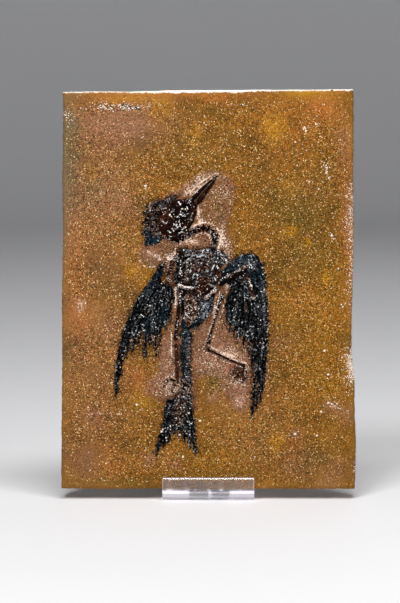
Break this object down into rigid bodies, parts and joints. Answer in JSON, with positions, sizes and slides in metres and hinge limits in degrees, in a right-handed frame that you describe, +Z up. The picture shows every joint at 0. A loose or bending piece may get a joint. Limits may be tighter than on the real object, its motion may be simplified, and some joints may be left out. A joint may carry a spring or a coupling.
{
  "type": "fossil bird slab",
  "caption": "Rectangular resin slab with the flattened skeleton and dark feather films of a small long-billed bird, leaning in a bent clear easel.",
  "frame": {"origin": "middle of the flat seat of the easel, on its underside, where the easel stands on the table", "axes": "+Z up, -Y the side that the bird's face looks out of, +X to the right of someone looking at the bird"},
  "size_m": [0.1109, 0.051, 0.153],
  "materials": {
    "resin_matrix": "cast amber-brown resin with a sparkling sandy grain",
    "bone": "glossy dark red-brown fossil bone with white glints",
    "feather_film": "blue-black carbon film with a satin sheen",
    "clear_acrylic": "clear polished sheet"
  },
  "bodies": {
    "root": {"slab": "resin_matrix", "skull": "bone", "lower_bill": "bone", "neck_vertebrae": "bone", "ribcage": "bone", "wishbone": "bone", "breastbone": "bone", "pelvis": "bone", "left_coracoid": "bone", "left_humerus": "bone", "left_femur": "bone", "left_tibiotarsus": "bone", "left_tarsometatarsus": "bone", "right_shoulder_blade": "bone", "right_humerus": "bone", "right_femur": "bone", "right_tibiotarsus": "bone", "right_tarsometatarsus": "bone", "right_radius": "bone", "right_ulna": "bone", "right_hand": "bone", "left_toes": "bone", "right_toes": "bone", "crest_feathers": "feather_film", "body_feathers": "feather_film", "left_wing_feathers": "feather_film", "right_wing_feathers": "feather_film", "tail_feathers": "feather_film", "easel": "clear_acrylic"}
  },
  "joints": []
}
